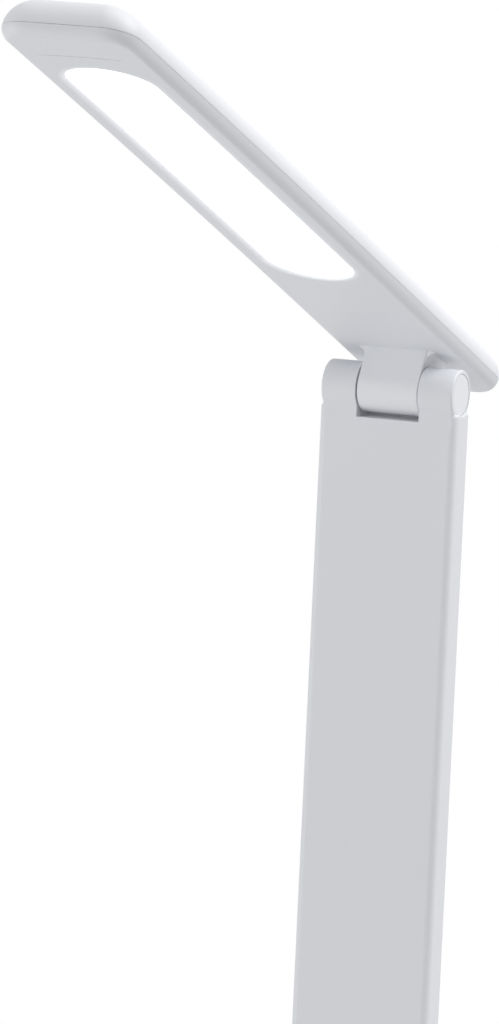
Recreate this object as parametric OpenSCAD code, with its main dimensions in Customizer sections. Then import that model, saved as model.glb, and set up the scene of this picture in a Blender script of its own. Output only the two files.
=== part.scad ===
// Folding LED desk lamp: a slim head on a flat arm, which folds down over a weighted base.
// X runs across the lamp, -Y points to the user and +Z up.
// The origin is under the middle of the base pad, on the desk.
// The arm's own frame has its lower pivot at zero and Z along the arm.
// The head's own frame has its hinge at zero, -Y towards the free end and Z out of its top.

/* [Pose] */
// Lean of the arm behind the vertical
arm_lean = 6.7; // [0:0.1:12]
// Rise of the head above the horizontal
head_rise = 29; // [0:1:60]

/* [Head] */
// Width of the head
head_w = 37.2; // [36.4:0.2:39]
// Reach of the head in front of its hinge
head_front = 254.4; // [246:0.2:256]
// Length of the head behind its hinge
head_back = 32.4; // [24:0.2:40]
// Corner radius of the head seen from above
head_corner_r = 8.7; // [7:0.1:11]
// Height of the lower shell up to the seam
lower_h = 3; // [2.6:0.1:3.6]
// Rounding of the lower shell's edge
lower_round = 1.8; // [1:0.1:2.2]
// Height of the upper shell above the seam
upper_h = 7.8; // [7.2:0.1:9]
// Rounding of the upper shell along its sides
crown_side = 8.8; // [7:0.1:9.4]
// Rounding of the upper shell at its ends
crown_end = 6.7; // [5:0.1:8]
// Wall of the upper shell
head_wall = 1.5; // [1.2:0.1:1.8]
// Floor of the lower shell
floor_t = 1.6; // [1.2:0.1:1.8]
// Height of the lip that locates the upper shell
lip_h = 0.9; // [0.5:0.1:1.2]
// Width of that lip
lip_t = 1; // [0.8:0.1:1.4]
// Distance of the fine line near the free end from the hinge
end_line_y = 238.4; // [234:0.2:240]
// Length of that line
end_line_w = 23; // [16:1:26]

/* [Light] */
// Width of the lit window
window_w = 24; // [20:0.2:24.4]
// Length of the lit window
window_len = 166; // [140:1:168]
// Near end of the window from the hinge
window_start = 63.4; // [56:0.2:64]
// Chamfer round the window
window_chamfer = 0.5; // [0.2:0.1:0.8]
// Depth of the diffuser's face behind the underside
window_recess = 0.6; // [0.4:0.1:0.9]
// Thickness of the diffuser's flange
flange_t = 1; // [0.8:0.1:1.4]
// Width of the flange round the window
flange_w = 1.9; // [1.4:0.1:2.2]
// Height of the reflector frame
reflector_h = 3.6; // [3:0.1:3.9]
// Wall of the reflector frame
reflector_t = 1.2; // [0.8:0.1:1.6]
// Thickness of the light board
led_board_t = 1.2; // [0.8:0.1:1.3]
// Lights in each of the two rows
led_count = 14; // [8:1:16]
// Distance of each row from the middle
led_row_x = 6; // [5:0.5:8]
// Size of one light
led_size = [2.8, 3.5, 0.7];

/* [Hinges] */
// Radius of the arm's ears
ear_r = 6.9; // [6.8:0.1:7.2]
// Width across the two ears
ear_span = 38.2; // [37.6:0.1:39]
// Width of the knuckle between the ears
knuckle_w = 17.6; // [16.8:0.1:18]
// Radius of the knuckle's barrel
knuckle_r = 6.6; // [6.2:0.1:6.7]
// Gap between a knuckle and each ear
side_gap = 0.3; // [0.2:0.05:0.5]
// Height of the head's underside over its hinge
head_gap = 9.8; // [9.6:0.1:11]
// Depth of the arm's notch below the hinge axis
notch_depth = 7.7; // [7.5:0.1:9]
// Radius of the hinge shafts
shaft_r = 3; // [2.8:0.1:3.2]
// Radius of the way for the lead through a shaft
lead_way_r = 1.5; // [1.2:0.1:1.6]
// Radius of a shaft's head
shaft_head_r = 4.5; // [4.2:0.1:4.6]
// Thickness of a shaft's head
shaft_head_t = 1.2; // [1:0.1:1.6]
// Length of an ear's bearing on the shaft
bearing_len = 2.5; // [2:0.1:3]
// Radius of the pocket for the nut and the washers
pocket_r = 5; // [4.9:0.05:5.1]
// Thickness of a washer
washer_t = 0.6; // [0.4:0.1:0.8]
// Thickness of the disc spring
disc_spring_t = 0.8; // [0.6:0.1:1]
// Thickness of a hinge nut
nut_t = 2.5; // [2:0.1:2.8]
// Width of a hinge nut across its flats
nut_af = 8; // [7.6:0.1:8.2]
// Radius of an end cap
cap_r = 5.7; // [5.5:0.05:6]
// Thickness of an end cap
cap_t = 1.3; // [1:0.1:1.6]

/* [Arm] */
// Length of the arm from pivot to pivot
arm_len = 272; // [268:1:290]
// Width of the arm
arm_w = 40; // [39.6:0.2:44]
// Thickness of the arm
arm_t = 10.4; // [10:0.1:11]
// Rounding of the arm's long edges
arm_edge_r = 2.1; // [1.6:0.1:2.3]
// Distance of the arm's shoulders from a pivot
shoulder = 5; // [4.8:0.1:6]
// Wall of the arm shell
arm_wall = 2; // [1.6:0.1:2.4]
// Distance of the arm's hollow from a pivot
hollow_end = 16; // [14:0.5:20]
// Thickness of the arm's rear cover
arm_cover_t = 1.8; // [1.4:0.1:2]
// Ledge that the rear cover rests on
ledge_w = 1.2; // [0.8:0.1:1.6]
// Thickness of the steel stiffener
stiffener_t = 1.2; // [0.8:0.1:1.6]
// Width of the stiffener
stiffener_w = 26; // [20:0.5:26]
// Screws along the arm
arm_screw_count = 4; // [3:1:5]
// Distance of the arm's lead from the middle
lead_x = 15; // [14.8:0.1:15.2]

/* [Base] */
// Width of the base
base_w = 118; // [114:1:140]
// Depth of the base
base_d = 176; // [170:1:200]
// Height of the base's top over the desk
base_h = 20; // [19:0.5:26]
// Corner radius of the base seen from above
base_corner_r = 24; // [18:1:28]
// Rounding of the base's top edge
base_round = 5; // [3:0.5:6]
// Wall of the base cover
base_wall = 2.2; // [1.8:0.1:2.6]
// Thickness of the pad under the base
pad_t = 1.5; // [1:0.1:2.5]
// Inset of the pad from the base's edge
pad_inset = 4; // [2:0.5:8]
// Thickness of the bottom plate
plate_t = 2; // [1.6:0.1:2.6]
// Distance of the arm's pivot in front of the base's rear edge
pivot_inset = 26; // [24:1:32]
// Height of the arm's pivot over the base's top
pivot_rise = 23; // [22.6:0.2:30]
// Width and depth of the block that carries the lower knuckle
post_size = [40, 15];
// Gap between that block's top and the pivot
post_drop = 8.2; // [7.8:0.1:9]
// Distance of the block's foot from the sides of the base
foot_inset = 31; // [29:0.5:35]
// Depth of the block's foot inside the base
foot_d = 26; // [22:1:28]
// Corner radius of the block
post_corner_r = 3; // [1:0.5:5]
// Thickness of the steel ballast
ballast_t = 5; // [3:0.5:6]
// Gap between the ballast and the screw bosses beside it
ballast_side_gap = 0.8; // [0.8:0.2:12]
// Gap between the ballast and the control board behind the button
ballast_front_gap = 5; // [2:1:30]
// Height of the power inlet's axis over the desk
socket_z = 9.3; // [8.8:0.1:10]
// Distance of the power inlet from the start of the base's corner
socket_inset = 5; // [4:1:14]

/* [Button] */
// Radius of the power button
button_r = 8; // [6:0.5:9]
// Height of the button over the base's top
button_rise = 0.9; // [0.9:0.1:1.2]
// Travel of the button
button_travel = 0.8; // [0.4:0.1:0.8]
// Distance of the button behind the base's front edge
button_inset = 26; // [24:1:30]
// Width, depth and thickness of the control board
board_size = [58, 32, 1.6];
// Height of the control board's top over the desk
board_top = 11.5; // [10.5:0.1:12]

/* [Fits] */
// Radial clearance of a running shaft
running_gap = 0.05; // [0.02:0.01:0.08]
// Gap round pieces that are set into others
fit_gap = 0.1; // [0.05:0.01:0.15]
// Gap between faces that slide on each other
face_gap = 0.1; // [0.05:0.01:0.15]
// Radius of the small screws
screw_r = 1.2; // [1:0.1:1.3]
// Radius of the small screws' heads
screw_head_r = 2.2; // [2:0.1:2.4]
// Height of the small screws' heads
screw_head_h = 1.2; // [1:0.1:1.4]
// Radius of the leads
lead_r = 0.7; // [0.5:0.05:0.8]

/* [Hidden] */
$fn = 64;
hull_fn = 32;
skin = 0.01;
past = 1;

shell_white = "whitesmoke";
steel = "silver";
board_green = "seagreen";
lead_white = "gainsboro";

// Head, in its own frame
head_len = head_front + head_back;
floor_z = head_gap + floor_t;
seam_z = head_gap + lower_h;
crown_top = seam_z + upper_h;
ceiling_z = crown_top - head_wall;
lip_in = head_wall + 2 * fit_gap;
window_mid = window_start + window_len / 2;
flange_top = floor_z + flange_t;
led_board_z = flange_top + reflector_h;
led_board_top = led_board_z + led_board_t;
led_board_w = window_w + 2 * flange_w - 2 * fit_gap;
led_board_len = window_len + 2 * flange_w - 2 * fit_gap;
led_pitch = (window_len - window_w) / (led_count - 1);
led_screw_step = 2 * led_pitch + led_pitch * floor(led_count / 4);
boss_r = 2.6;
crown_steps = 9;
edge_steps = 5;

// Hinges, along their axis from the middle
knuckle_half = knuckle_w / 2;
notch_half = knuckle_half + side_gap;
pocket_in = notch_half + bearing_len;
cap_seat = ear_span / 2 - cap_t - fit_gap;
washer_in = pocket_in + face_gap;
head_in = washer_in + washer_t + face_gap;
shaft_left = head_in + shaft_head_t;
spring_in = head_in;
nut_in = spring_in + disc_spring_t + face_gap;
shaft_right = nut_in + nut_t + 0.4;
washer_hole_r = shaft_r + fit_gap;
washer_r = pocket_r - 2 * fit_gap;
neck_front = 3.6;
neck_back = 6;
flare_r = 2.2;
tenon_size = [knuckle_w - 0.6, 8];
tenon_mid = (neck_back - neck_front) / 2;
knuckle_plate_size = [28, 18, 1.5];
knuckle_screw_x = 5.8;
knuckle_screw_len = 7.6;

// Arm, in its own frame
cover_half_w = arm_w / 2 - arm_edge_r - 0.7;
hollow_half_w = cover_half_w - ledge_w;
hollow_front = -arm_t / 2 + arm_wall;
cover_y = arm_t / 2 - arm_cover_t;
cover_len = arm_len - 2 * hollow_end;
arm_boss_r = 3;
arm_screw_inset = 20;
arm_screw_step = (cover_len - 2 * arm_screw_inset) / (arm_screw_count - 1);
stiffener_end = hollow_end + 5;
arm_screw_len = 6;

// Base
pivot_y = base_d / 2 - pivot_inset;
pivot_z = base_h + pivot_rise;
button_y = base_d / 2 - button_inset;
board_mid = -button_y;
socket_x = base_w / 2 - base_corner_r - socket_inset;
base_ceiling = base_h - base_wall;
plate_top = pad_t + plate_t;
ballast_top = plate_top + ballast_t;
foot_size = [base_w - 2 * foot_inset, foot_d];
base_boss_r = 3.2;
base_screw_at = [base_w / 2 - 13, base_d / 2 - 12];
base_screw_grip = 7;
side_screw_x = base_w / 2 - 9;
ballast_w = 2 * (base_screw_at[0] - base_boss_r - ballast_side_gap);
ballast_rear = pivot_y + foot_size[1] / 2 + 2;
ballast_front = board_mid + board_size[1] / 2 + ballast_front_gap;
ballast_d = ballast_rear - ballast_front;
ballast_mid = (ballast_rear + ballast_front) / 2;
ballast_screw_inset = [8, 30];
post_top = pivot_z - post_drop;
post_screw_inset = [6, 5];
post_screw_at = foot_size / 2 - post_screw_inset;
board_screw_at = [board_size[0] / 2 - 4, board_size[1] / 2 - 4];
post_slot_h = 3;

// Parts on the control board, and the two leads that leave its plug
chip_at = [12, -6, 0];
chip_size = [5, 6, 1.6];
can_at = [-17, 2, 0];
can_r = 3;
can_h = 3.2;
resistor_at = [-19, [-8, -3]];
resistor_size = [3.2, 1.6, 1.2];
plug_at = [11, 6, 0];
plug_size = [8, 5, 3.6];
base_lead_x = 15;
socket_lead_x = 17;

// Button, switch and spring
button_flange = [button_r + 1.5, 1.2];
button_flange_z = base_ceiling - face_gap - button_flange[1];
switch_body = [6, 6, 3];
switch_top = board_top + switch_body[2] + 0.5;
plunger_z = switch_top + button_travel + face_gap;
spring_r = 5.4;
spring_wire_r = 0.35;
spring_turns = 4;

// Power inlet, along its axis
socket_nose_r = 3.9;
socket_rim_r = 5.2;
socket_rim_t = 1;
socket_len = 13;
socket_mouth_r = 3.1;
socket_mouth_len = 9.5;
socket_pin_r = 1;
socket_nut_af = 10;
socket_nut_t = 2;
socket_seat_t = 1.2;
socket_seat_w = 13;

// Placing

module arm_place() {
    translate([0, pivot_y, pivot_z]) rotate([-arm_lean, 0, 0]) children();
}

module head_place() {
    arm_place() translate([0, 0, arm_len]) rotate([arm_lean - head_rise, 0, 0]) children();
}

module post_place() {
    translate([0, pivot_y, pivot_z]) mirror([0, 0, 1]) children();
}

module both_ends() {
    children();
    translate([0, 0, arm_len]) mirror([0, 0, 1]) children();
}

module both_sides() {
    children();
    mirror([1, 0, 0]) children();
}

module four_at(at) {
    for (x = [-at[0], at[0]], y = [-at[1], at[1]]) translate([x, y, 0]) children();
}

// Shapes

module rounded_rect(w, l, r) {
    square([w - 2 * r, l], center = true);
    square([w, l - 2 * r], center = true);
    for (x = [-1, 1], y = [-1, 1]) translate([x * (w / 2 - r), y * (l / 2 - r)]) circle(r);
}

module stadium(w, l) {
    square([w, l - w], center = true);
    for (y = [-1, 1]) translate([0, y * (l - w) / 2]) circle(w / 2);
}

module rod(r, x0, x1) {
    translate([x0, 0, 0]) rotate([0, 90, 0]) cylinder(r = r, h = x1 - x0);
}

module ring(outer, inner, x0, x1) {
    difference() {
        rod(outer, x0, x1);
        rod(inner, x0 - past, x1 + past);
    }
}

module hex(af, h) {
    cylinder(r = af / 2 / cos(30), h = h, $fn = 6);
}

// A screw with its head down at zero and its shank upwards
module screw(length) {
    cylinder(r = screw_head_r, h = screw_head_h);
    cylinder(r = screw_r, h = screw_head_h + length);
}

// Leads are swept along a smooth curve through points chosen by hand

function unit(v) = v / norm(v);
function clamped(p, i) = p[max(0, min(len(p) - 1, i))];
function curve_point(a, b, c, d, t) =
    0.5 * (2 * b + (c - a) * t + (2 * a - 5 * b + 4 * c - d) * t * t
        + (3 * b - a - 3 * c + d) * t * t * t);
function smooth(p, n) = concat(
    [for (i = [0 : len(p) - 2], k = [0 : n - 1])
        curve_point(clamped(p, i - 1), p[i], p[i + 1], clamped(p, i + 2), k / n)],
    [p[len(p) - 1]]);
function tangent(p, i) = unit(clamped(p, i + 1) - clamped(p, i - 1));
function ring_points(c, t, ref, r, sides) =
    let (n = unit(cross(t, ref)), b = cross(n, t))
    [for (k = [0 : sides - 1]) c + r * (cos(360 * k / sides) * n + sin(360 * k / sides) * b)];

module sweep(path, r, ref) {
    sides = 8;
    rings = len(path);
    points = [for (i = [0 : rings - 1]) each ring_points(path[i], tangent(path, i), ref, r, sides)];
    walls = [for (i = [0 : rings - 2], k = [0 : sides - 1])
        let (a = i * sides + k, b = i * sides + (k + 1) % sides) [a, b, b + sides, a + sides]];
    first_cap = [for (k = [0 : sides - 1]) sides - 1 - k];
    last_cap = [for (k = [0 : sides - 1]) (rings - 1) * sides + k];
    polyhedron(points, concat(walls, [first_cap, last_cap]), convexity = 6);
}

// Head

module head_outline(side, end) {
    translate([0, (head_back - head_front) / 2])
        rounded_rect(head_w - 2 * side, head_len - 2 * end,
            max(head_corner_r - min(side, end), 1), $fn = hull_fn);
}

module crown(wall) {
    hull() for (i = [0 : crown_steps]) {
        turn = 90 * i / crown_steps;
        translate([0, 0, seam_z + (upper_h - wall - skin) * sin(turn)]) linear_extrude(skin)
            head_outline(wall + crown_side * (1 - cos(turn)), wall + crown_end * (1 - cos(turn)));
    }
}

module led_screw_places() {
    for (k = [-1, 0, 1]) translate([0, -window_mid + k * led_screw_step, 0]) children();
}

module head_upper_shell() {
    color(shell_white) head_place() {
        difference() {
            crown(0);
            crown(head_wall);
            translate([0, 0, seam_z - past]) linear_extrude(past + 2 * skin)
                head_outline(head_wall, head_wall);
        }
        led_screw_places() translate([0, 0, led_board_top]) difference() {
            cylinder(r = boss_r, h = ceiling_z - led_board_top + head_wall / 2);
            translate([0, 0, -past])
                cylinder(r = screw_r + running_gap, h = past + ceiling_z - led_board_top);
        }
    }
}

module window_cut(grow, z, h) {
    translate([0, -window_mid, z]) linear_extrude(h) stadium(window_w + 2 * grow, window_len + 2 * grow);
}

module head_lower_shell() {
    color(shell_white) head_place() difference() {
        union() {
            hull() for (i = [0 : edge_steps]) {
                turn = 90 * i / edge_steps;
                side = lower_round * (1 - sin(turn));
                translate([0, 0, head_gap + (lower_h - skin) * (1 - cos(turn))]) linear_extrude(skin)
                    head_outline(side, side);
            }
            translate([0, 0, floor_z]) linear_extrude(lower_h - floor_t + lip_h)
                head_outline(lip_in, lip_in);
        }
        translate([0, 0, floor_z]) linear_extrude(lower_h + past)
            head_outline(lip_in + lip_t, lip_in + lip_t);
        window_cut(0, head_gap - past, lower_h + past);
        hull() {
            window_cut(window_chamfer + skin, head_gap - skin, skin, $fn = hull_fn);
            window_cut(0, head_gap + window_chamfer, skin, $fn = hull_fn);
        }
        translate([0, tenon_mid, head_gap - past]) linear_extrude(lower_h + past)
            square(tenon_size + [2, 2] * fit_gap, center = true);
        translate([-end_line_w / 2, -end_line_y, head_gap - past]) cube([end_line_w, 0.3, past + 0.2]);
    }
}

module diffuser() {
    color("white") head_place() {
        window_cut(-fit_gap, head_gap + window_recess, floor_t - window_recess);
        window_cut(flange_w, floor_z, flange_t);
    }
}

module light_board_cut(inset, z, h) {
    translate([0, -window_mid, z]) linear_extrude(h)
        stadium(led_board_w - 2 * inset, led_board_len - 2 * inset);
}

module reflector_frame() {
    color("white") head_place() difference() {
        light_board_cut(0, flange_top, reflector_h);
        light_board_cut(reflector_t, flange_top - past, reflector_h + 2 * past);
    }
}

module led_board() {
    color("white") head_place() difference() {
        light_board_cut(0, led_board_z, led_board_t);
        led_screw_places() translate([0, 0, led_board_z - past])
            cylinder(r = screw_r + running_gap, h = led_board_t + 2 * past);
    }
}

module leds() {
    color("khaki") head_place() for (x = [-led_row_x, led_row_x], k = [0 : led_count - 1])
        translate([x - led_size[0] / 2,
            -window_mid + (k - (led_count - 1) / 2) * led_pitch - led_size[1] / 2,
            led_board_z - led_size[2]]) cube(led_size);
}

module led_board_screws() {
    color(steel) head_place() led_screw_places()
        translate([0, 0, led_board_z - screw_head_h])
            screw(led_board_t + ceiling_z - led_board_top - fit_gap);
}

// The barrel and neck that both knuckles share, with the neck along Z
module knuckle_body(front, back, height) {
    intersection() {
        union() {
            rod(knuckle_r, -knuckle_half - flare_r, knuckle_half + flare_r);
            translate([-knuckle_half - flare_r, 0, 0]) rotate([90, 0, 90])
                linear_extrude(knuckle_w + 2 * flare_r)
                    polygon([[-front, height], [back, height], [knuckle_r, 0], [-knuckle_r, 0]]);
        }
        translate([0, knuckle_r + past, 0]) rotate([90, 0, 0]) linear_extrude(2 * (knuckle_r + past))
            difference() {
                union() {
                    translate([-knuckle_half, -knuckle_r - past])
                        square([knuckle_w, knuckle_r + past + height]);
                    translate([-knuckle_half - flare_r, height - flare_r])
                        square([knuckle_w + 2 * flare_r, flare_r]);
                }
                for (x = [-1, 1]) translate([x * (knuckle_half + flare_r), height - flare_r])
                    circle(flare_r);
            }
    }
}

module knuckle_bores(height) {
    rod(shaft_r + running_gap / 2, -knuckle_w, knuckle_w);
    cylinder(r = lead_way_r, h = height);
}

module head_knuckle() {
    color(shell_white) head_place() difference() {
        union() {
            knuckle_body(neck_front, neck_back, head_gap);
            translate([0, tenon_mid, head_gap - past]) linear_extrude(floor_t + past)
                square(tenon_size, center = true);
        }
        knuckle_bores(floor_z + past);
        both_sides() translate([knuckle_screw_x, tenon_mid, floor_z - knuckle_screw_len])
            cylinder(r = screw_r + running_gap, h = knuckle_screw_len + past);
    }
}

module knuckle_plate() {
    color(steel) head_place() difference() {
        translate([0, tenon_mid, floor_z]) linear_extrude(knuckle_plate_size[2])
            square([knuckle_plate_size[0], knuckle_plate_size[1]], center = true);
        translate([0, 0, floor_z - past]) cylinder(r = lead_way_r, h = knuckle_plate_size[2] + 2 * past);
        both_sides() translate([knuckle_screw_x, tenon_mid, floor_z - past])
            cylinder(r = screw_r + running_gap, h = knuckle_plate_size[2] + 2 * past);
    }
}

module knuckle_screws() {
    color(steel) head_place() both_sides()
        translate([knuckle_screw_x, tenon_mid, floor_z + knuckle_plate_size[2] + screw_head_h])
            mirror([0, 0, 1]) screw(knuckle_screw_len + knuckle_plate_size[2] - fit_gap);
}

module head_lead() {
    along_y = floor_z + knuckle_plate_size[2] + 2;
    end_z = led_board_top + lead_r;
    path = [[-shaft_left + fit_gap / 2, 0, 0], [-9, 0, 0], [-4, 0, 0], [-1.6, 0, 0], [-0.35, 0, 0.5],
        [0, 0, 2], [0, 0, 6], [0, 0, floor_z], [0, -1, along_y - 0.6], [0, -4, along_y],
        [0, -20, along_y], [0, -window_start + 14, along_y], [0, -window_start + 5, end_z - 0.2],
        [0, -window_start, end_z], [0, -window_start - 5, end_z]];
    color(lead_white) head_place() sweep(smooth(path, 3), lead_r, [0.1, 1, 0.1]);
}

// Hinge hardware, in the frame of its hinge, with the way for the lead along Z

module hinge_shaft() {
    color(steel) difference() {
        union() {
            rod(shaft_r, -shaft_left, shaft_right);
            rod(shaft_head_r, -shaft_left, -head_in);
        }
        rod(lead_way_r, -shaft_left - past, lead_way_r);
        cylinder(r = lead_way_r, h = shaft_r + past);
    }
}

module hinge_washers() {
    color(steel) {
        both_sides() ring(washer_r, washer_hole_r, washer_in, washer_in + washer_t);
        ring(washer_r - fit_gap, washer_hole_r, spring_in, spring_in + disc_spring_t);
    }
}

module hinge_nut() {
    color(steel) difference() {
        translate([nut_in, 0, 0]) rotate([0, 90, 0]) hex(nut_af, nut_t);
        rod(shaft_r + running_gap / 2, nut_in - past, nut_in + nut_t + past);
    }
}

module hinge_caps() {
    color(shell_white) both_sides() rod(cap_r, cap_seat, cap_seat + cap_t);
}

module upper_hinge_shaft() { head_place() hinge_shaft(); }
module upper_hinge_washers() { head_place() hinge_washers(); }
module upper_hinge_nut() { head_place() hinge_nut(); }
module upper_hinge_caps() { arm_place() translate([0, 0, arm_len]) hinge_caps(); }
module lower_hinge_shaft() { post_place() hinge_shaft(); }
module lower_hinge_washers() { post_place() hinge_washers(); }
module lower_hinge_nut() { post_place() hinge_nut(); }
module lower_hinge_caps() { arm_place() hinge_caps(); }

// Arm

module arm_screw_places() {
    for (k = [0 : arm_screw_count - 1])
        translate([0, 0, hollow_end + arm_screw_inset + k * arm_screw_step])
            rotate([-90, 0, 0]) children();
}

module arm_box(half_w, y0, y1, end) {
    translate([-half_w, y0, end]) cube([2 * half_w, y1 - y0, arm_len - 2 * end]);
}

module arm_end_cuts() {
    translate([-notch_half, -ear_r - past, -ear_r - past])
        cube([2 * notch_half, 2 * (ear_r + past), ear_r + past + notch_depth]);
    both_sides() {
        rod(shaft_r + running_gap, knuckle_half - past, pocket_in + past);
        rod(pocket_r, pocket_in, cap_seat + skin);
        rod(cap_r + running_gap, cap_seat, ear_span / 2 + past);
    }
    translate([-lead_x, 0, 0]) cylinder(r = lead_r + 3 * fit_gap, h = hollow_end + ledge_w + past);
}

module arm_shell() {
    color(shell_white) arm_place() {
        difference() {
            union() {
                translate([0, 0, shoulder]) linear_extrude(arm_len - 2 * shoulder)
                    rounded_rect(arm_w, arm_t, arm_edge_r);
                both_ends() {
                    linear_extrude(shoulder) rounded_rect(ear_span, arm_t, arm_edge_r / 3);
                    rod(ear_r, -ear_span / 2, ear_span / 2);
                }
            }
            both_ends() arm_end_cuts();
            arm_box(hollow_half_w, hollow_front, arm_t / 2 + past, hollow_end + ledge_w);
            arm_box(cover_half_w, cover_y, arm_t / 2 + past, hollow_end);
        }
        arm_screw_places() translate([0, 0, hollow_front - arm_wall / 2]) difference() {
            cylinder(r = arm_boss_r, h = cover_y - hollow_front + arm_wall / 2);
            translate([0, 0, cover_y - hollow_front + arm_wall / 2 - arm_screw_len])
                cylinder(r = screw_r + running_gap, h = arm_screw_len + past);
        }
    }
}

module arm_cover() {
    color(shell_white) arm_place() difference() {
        arm_box(cover_half_w - fit_gap, cover_y, arm_t / 2, hollow_end + fit_gap);
        arm_screw_places() {
            cylinder(r = screw_r + running_gap, h = arm_t);
            translate([0, 0, arm_t / 2 - screw_head_h - fit_gap])
                cylinder(r = screw_head_r + fit_gap, h = arm_t);
        }
    }
}

module arm_stiffener() {
    color(steel) arm_place() difference() {
        arm_box(stiffener_w / 2, hollow_front, hollow_front + stiffener_t, stiffener_end);
        arm_screw_places() translate([0, 0, -arm_t]) cylinder(r = arm_boss_r + fit_gap, h = 2 * arm_t);
    }
}

module arm_screws() {
    color(steel) arm_place() arm_screw_places()
        translate([0, 0, arm_t / 2 - fit_gap]) mirror([0, 0, 1]) screw(arm_screw_len - 2 * fit_gap);
}

module arm_lead() {
    start = shaft_left + 3 * fit_gap;
    near_end = [[-start, 0, 0], [-start - 0.35, 0, 0.05], [-lead_x + 0.1, 0, 0.5], [-lead_x, 0, 1.4],
        [-lead_x, 0, 4], [-lead_x, 0, 14], [-lead_x, 0, 40]];
    last = len(near_end) - 1;
    far_end = [for (k = [0 : last]) [near_end[last - k][0], 0, arm_len - near_end[last - k][2]]];
    color(lead_white) arm_place() sweep(smooth(concat(near_end, far_end), 2), lead_r, [0, 1, 0]);
}

// Base

module base_body(wall, z0) {
    hull() {
        translate([0, 0, z0]) linear_extrude(skin)
            rounded_rect(base_w - 2 * wall, base_d - 2 * wall, base_corner_r - wall, $fn = hull_fn);
        for (i = [0 : edge_steps]) {
            turn = 90 * i / edge_steps;
            side = wall + base_round * (1 - cos(turn));
            rise = (base_round - skin) * sin(turn);
            translate([0, 0, base_h - wall - base_round + rise]) linear_extrude(skin)
                rounded_rect(base_w - 2 * side, base_d - 2 * side, base_corner_r - side, $fn = hull_fn);
        }
    }
}

module base_screw_places() {
    four_at(base_screw_at) children();
    both_sides() translate([side_screw_x, 0, 0]) children();
}

module board_screw_places() {
    translate([0, board_mid, 0]) four_at(board_screw_at) children();
}

module boss(r, z0, z1) {
    translate([0, 0, z0]) difference() {
        cylinder(r = r, h = z1 - z0);
        translate([0, 0, -past]) cylinder(r = screw_r + running_gap, h = z1 - z0 - base_wall / 2);
    }
}

module base_cover() {
    color(shell_white) {
        difference() {
            base_body(0, pad_t);
            base_body(base_wall, pad_t - past);
            translate([0, pivot_y, base_ceiling - past]) linear_extrude(base_wall + 2 * past)
                rounded_rect(post_size[0] + 2 * fit_gap, post_size[1] + 2 * fit_gap, post_corner_r + fit_gap);
            translate([0, -button_y, base_ceiling - past])
                cylinder(r = button_r + fit_gap, h = base_wall + 2 * past);
            translate([socket_x, base_d / 2 - base_wall - past, socket_z]) rotate([-90, 0, 0])
                cylinder(r = socket_nose_r + fit_gap, h = base_wall + 2 * past);
        }
        base_screw_places() boss(base_boss_r, plate_top, base_ceiling + base_wall / 2);
        board_screw_places() boss(boss_r, board_top, base_ceiling + base_wall / 2);
        socket_seat();
    }
}

// A flat inside the cover's wall for the power inlet's nut
module socket_seat() {
    difference() {
        translate([socket_x - socket_seat_w / 2, base_d / 2 - base_wall - socket_seat_t, plate_top + fit_gap])
            cube([socket_seat_w, socket_seat_t + base_wall / 2, socket_z + socket_nut_af / 2 - plate_top]);
        socket_place() cylinder(r = socket_nose_r + fit_gap, h = socket_len);
    }
}

module base_plate() {
    inset = base_wall + fit_gap;
    color(shell_white) translate([0, 0, pad_t]) difference() {
        linear_extrude(plate_t) rounded_rect(base_w - 2 * inset, base_d - 2 * inset, base_corner_r - inset);
        base_screw_places() {
            translate([0, 0, -past]) cylinder(r = screw_r + running_gap, h = plate_t + 2 * past);
            translate([0, 0, -past])
                cylinder(r = screw_head_r + fit_gap, h = past + screw_head_h + fit_gap / 2);
        }
        ballast_screw_places() {
            translate([0, 0, -past]) cylinder(r = screw_r + running_gap, h = plate_t + 2 * past);
            translate([0, 0, -past])
                cylinder(r = screw_head_r + fit_gap, h = past + screw_head_h + fit_gap / 2);
        }
    }
}

module base_pad() {
    color("dimgray") linear_extrude(pad_t)
        rounded_rect(base_w - 2 * pad_inset, base_d - 2 * pad_inset, base_corner_r - pad_inset);
}

module base_screws() {
    color(steel) base_screw_places() translate([0, 0, pad_t + fit_gap / 2]) screw(plate_t + base_screw_grip);
}

module ballast_screw_places() {
    translate([0, ballast_mid, 0])
        four_at([ballast_w / 2, ballast_d / 2] - ballast_screw_inset) children();
}

module post_screw_places() {
    translate([0, pivot_y, 0]) four_at(post_screw_at) children();
}

module ballast_plate() {
    socket_bay = 9;
    socket_bay_front = base_d / 2 - socket_len - 4;
    color("dimgray") difference() {
        translate([-ballast_w / 2, ballast_front, plate_top]) cube([ballast_w, ballast_d, ballast_t]);
        translate([socket_x - socket_bay, socket_bay_front, plate_top - past])
            cube([ballast_w, base_d, ballast_t + 2 * past]);
        ballast_screw_places() translate([0, 0, plate_top - past])
            cylinder(r = screw_r + running_gap, h = ballast_t + 2 * past);
        post_screw_places() translate([0, 0, plate_top - past]) {
            cylinder(r = screw_r + running_gap, h = ballast_t + 2 * past);
            cylinder(r = screw_head_r + fit_gap, h = past + screw_head_h + fit_gap);
        }
    }
}

module ballast_screws() {
    color(steel) ballast_screw_places() translate([0, 0, pad_t + fit_gap / 2])
        screw(plate_t - screw_head_h + ballast_t - fit_gap);
}

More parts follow.
